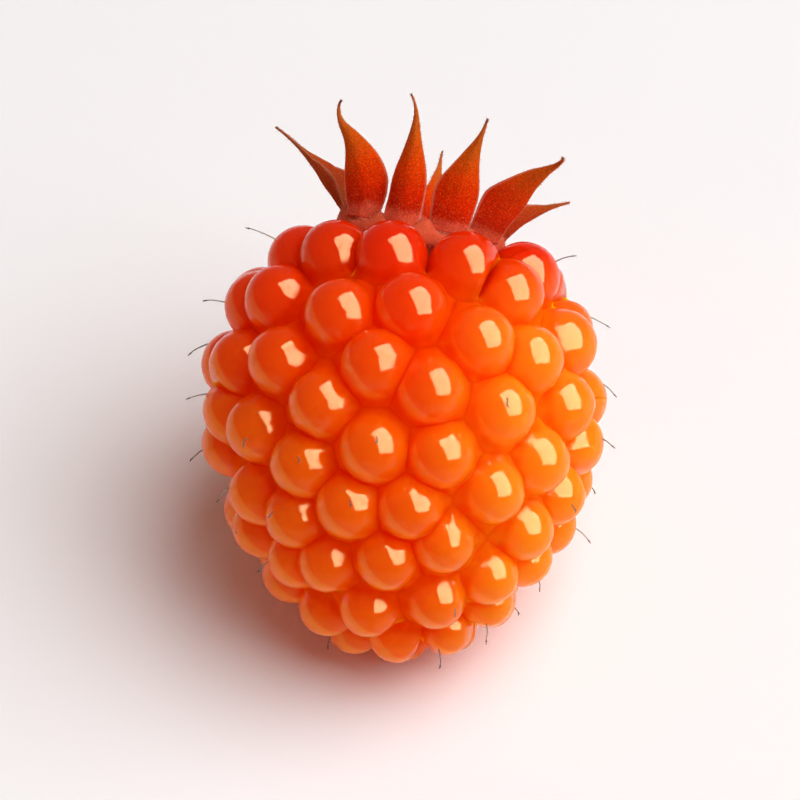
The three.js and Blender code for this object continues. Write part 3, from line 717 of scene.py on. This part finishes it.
# The dried styles. Each drupelet grew from one pistil, and on some its withered style still stands: a
# thread about as thick as a coarse hair, darker toward its forked end, bent over by the picking.
styled = [
    6, 7, 8, 9, 11, 14, 16, 17, 19, 20, 27, 32, 33, 35, 37, 38, 41, 43, 47, 49, 50, 51, 52,
    53, 54, 57, 58, 59, 62, 63, 65, 70, 71, 72, 75, 83, 84, 92, 94, 97, 101, 102,
]
own_lean = {
    7: (30, -10, 1.5, 0.5, 0), 8: (25, 10, 1, 0.5, 0.25), 16: (45, 15, 1.25, -0.25, 0.25),
    20: (25, -10, 1, 0.75, -0.25), 33: (35, -15, 1.25, -1, 0), 37: (40, 5, 1, -1, -0.25),
    41: (10, -5, 1, -1, 0), 47: (35, -25, 0.75, -0.75, -0.75), 49: (30, 30, 0.75, 0.5, 1),
    50: (25, -5, 0.75, -0.5, -0.25), 52: (25, 10, 0.5, -1, 0.5), 54: (30, 0, 0.75, 0, 0),
    57: (30, 45, 0.5, -0.75, 0.75), 58: (30, 10, 0.5, -0.25, 0.25), 62: (25, -5, 1, -1, -0.5),
    63: (30, -35, 0.5, 0.25, -1), 65: (15, 25, 0.5, -1, 0.75), 70: (10, 15, 0.5, -1, 0),
    71: (15, 5, 1, -0.5, -0.25), 75: (60, 20, 0.5, -1, 0.25), 83: (10, -15, 0.75, -0.75, -0.5),
    84: (45, 0, 0.5, 0.5, 0), 92: (0, 5, 0.5, -1, 0), 94: (0, -20, 0.5, -0.75, 0.75),
    97: (35, -20, 1, 0.75, -0.75), 101: (10, 0, 0.5, -1, 0.5), 102: (10, -20, 1, 0.75, -1),
}
style_width = 0.06
style_length = 1.1
style_stray = 0.3
style_root = 0.12
style_droop = 28
droop_stray = 18
aside_stray = 17
style_bend = 24
style_steps = 14
style_sides = 7
style_kink = 0.02
fork_steps = 4
fork_length = 0.13
fork_spread = 1.6
fork_overlap = 0.02


def tube(path, widths):
    """A closed round tube along a path, with a width at each of its points and a point at either end."""
    along_path = np.gradient(path, axis=0)
    along_path /= length_of(along_path)
    side = np.cross(along_path, [0.31, 0.52, 0.8])
    side /= length_of(side)
    other = np.cross(along_path, side)
    angle = np.linspace(0, 2 * np.pi, style_sides + 1)[None, :, None]
    ring = side[:, None] * np.cos(angle) + other[:, None] * np.sin(angle)
    rings = path[:, None] + ring * widths[:, None, None] / 2
    rings[:, -1] = rings[:, 0]
    ends = path[[0, -1], None] + 0 * rings[[0, -1]]
    return np.concatenate([ends[:1], rings, ends[1:]])


def style_tubes(number):
    """The thread, a quadratic curve from its foot past a knee to its end, and its two short forks."""
    own = outward[number]
    tipward = np.array([0, 0, -1]) @ lying.T
    tipward = tipward - own * (tipward @ own)
    tipward /= np.linalg.norm(tipward)
    sideways = np.cross(own, tipward)
    usual = (style_droop + droop_stray * stray(number, 4), aside_stray * stray(number, 3),
             style_length + style_stray * stray(number, 5), 0, 0)
    droop, aside, length, down, across = own_lean.get(number, usual)

    def leaning(degrees):
        lean, off = np.radians(degrees), np.radians(aside)
        return (own * np.cos(lean) + tipward * np.sin(lean)) * np.cos(off) + sideways * np.sin(off)

    foot_line = own * radius[number] + tipward * down + sideways * across
    foot = middle[number] + foot_line / np.linalg.norm(foot_line) * (radius[number] - style_root)
    knee = foot + leaning(droop - style_bend / 2) * length / 2
    end = knee + leaning(droop + style_bend / 2) * length / 2
    part = np.linspace(0, 1, style_steps)[:, None]
    path = foot * (1 - part) ** 2 + knee * 2 * part * (1 - part) + end * part ** 2
    path += (sideways * np.sin(9 * part + number) + own * np.sin(7 * part + 2 * number)) * style_kink * part
    widths = style_width * (1.25 - 0.55 * part[:, 0] + 0.8 * part[:, 0] ** 16)
    ahead = path[-1] - path[-2]
    ahead /= np.linalg.norm(ahead)
    apart = np.cross(ahead, own)
    apart /= np.linalg.norm(apart)
    tubes = [tube(path, widths)]
    for way_off in (-1, 1):
        fork = np.linspace(0, 1, fork_steps)[:, None] * fork_length
        forked = path[-1] + ahead * (fork - fork_overlap) + apart * way_off * fork ** 1.5 * fork_spread
        tubes.append(tube(forked, style_width * np.array([0.55, 0.6, 0.75, 0.4])))
    return tubes


# A dried plant thread. It is half matt, ochre at the foot and nearly black at its forked end.
dried, tree = new_material("dried_brown_style")
out_along = add_node(tree, "ShaderNodeAttribute", {"attribute_name": "toward_end"})
foot_to_fork = [(0.0, "a8682c"), (0.3, "6c4c34"), (0.75, "503828"), (1.0, "341c10")]
withered = add_node(tree, "ShaderNodeValToRGB", None, [(at, linear(colour)) for at, colour in foot_to_fork],
                    Fac=out_along.outputs["Fac"])
shader = add_node(tree, "ShaderNodeBsdfPrincipled", None,
                  Base_Color=withered.outputs["Color"], Roughness=0.55)
add_node(tree, "ShaderNodeOutputMaterial", None, Surface=shader.outputs[0])

for index, number in enumerate(styled, start=1):
    tubes = style_tubes(number)
    sizes = [grid[..., 0].size for grid in tubes]
    starts = np.concatenate([[0], np.cumsum(sizes)[:-1]])
    faces = [grid_faces(len(grid), style_sides + 1) + start for grid, start in zip(tubes, starts)]
    toward_end = [np.repeat(np.linspace(0, 1, len(tubes[0])), style_sides + 1), np.ones(sum(sizes[1:]))]
    made_piece(f"dried_style_{index:02d}", np.concatenate([grid.reshape(-1, 3) for grid in tubes]), faces,
               dried, [f"style_{index:02d}"], [("toward_end", np.concatenate(toward_end))])


# The table top, the light and the camera. The fruit lies on a large matt white board. One soft lamp above
# and to its right lights it, a second beside the first shows in its gloss alone, and a pale room fills in.
board_half = 1.5
room_light = 0.19
room_in_gloss = 0.2
camera_distance = 0.26
camera_rise = 47.5
key_line = np.array([0.5, -0.115, 0.858])
steps_per_metre = 22330  # the frame's 800 steps span about 36 mm at the fruit

scene = bpy.context.scene
scene.view_settings.view_transform = "Standard"

# White painted board. It is matt, has no highlight, and takes on the fruit's orange light.
board_white, tree = new_material("matt_white_board")
shader = add_node(tree, "ShaderNodeBsdfPrincipled", None,
                  **{"Base_Color": linear("fffcfa"), "Roughness": 0.9, "Specular_IOR_Level": 0.0})
add_node(tree, "ShaderNodeOutputMaterial", None, Surface=shader.outputs[0])
board = bpy.data.meshes.new("table_top")
board.from_pydata([(-board_half, -board_half, 0), (board_half, -board_half, 0), (board_half, board_half, 0),
                   (-board_half, board_half, 0)], [], [(0, 1, 2, 3)])
board.materials.append(board_white)
floor = bpy.data.objects.new("table_top", board)
scene.collection.objects.link(floor)

aim = Vector(set_down.tolist()) * 0.001


def softbox(name, toward, distance, half_degrees, narrow, roll, radiance, colour):
    """A rectangular lamp that fills a given half angle from the fruit. Its power is the wanted radiance times
    pi times its area."""
    light = bpy.data.lights.new(name, "AREA")
    light.shape = "RECTANGLE"
    light.size = 2 * distance * np.tan(np.radians(half_degrees))
    light.size_y = light.size * narrow
    light.energy = radiance * np.pi * light.size * light.size_y
    light.color = linear(colour)[:3]
    lamp = bpy.data.objects.new(name, light)
    line = Vector(toward).normalized()
    lamp.location = aim + line * distance
    lamp.rotation_euler = (line.to_track_quat("Z", "Y") @ Quaternion((0, 0, 1), np.radians(roll))).to_euler()
    scene.collection.objects.link(lamp)
    return lamp


key = softbox("softbox", key_line, distance=0.6, half_degrees=28, narrow=1, roll=0, radiance=3.75,
              colour="f4f9ff")
key.visible_glossy = False
gleam = softbox("softbox_gleam", lamp_line, distance=0.55, half_degrees=41, narrow=0.62, roll=45, radiance=26,
                colour="fffdf4")
gleam.visible_diffuse = gleam.visible_transmission = False

scene.world = bpy.data.worlds.new("studio")
scene.world.use_nodes = True
room = scene.world.node_tree
room.nodes.clear()
seen_by = add_node(room, "ShaderNodeLightPath")
walls = add_node(room, "ShaderNodeMath", {"operation": "MULTIPLY_ADD"},
                 i0=seen_by.outputs["Is Glossy Ray"], i1=room_in_gloss, i2=room_light)
glow = add_node(room, "ShaderNodeBackground", None, Color=linear("ffe4cc"), Strength=walls.outputs[0])
add_node(room, "ShaderNodeOutputWorld", None, Surface=glow.outputs[0])

camera_data = bpy.data.cameras.new("camera")
camera_data.lens = 261
camera_data.sensor_width = 36
camera_data.clip_start, camera_data.clip_end = 0.01, 10
camera = bpy.data.objects.new("camera", camera_data)
scene.collection.objects.link(camera)
rise = np.radians(camera_rise)
back = Vector((0, -np.cos(rise), np.sin(rise)))
up = Vector((0, np.sin(rise), np.cos(rise)))
target = aim + up * (33 / steps_per_metre) - Vector((1, 0, 0)) * (3 / steps_per_metre)
camera.location = target + back * camera_distance
camera.rotation_euler = back.to_track_quat("Z", "Y").to_euler()
scene.camera = camera
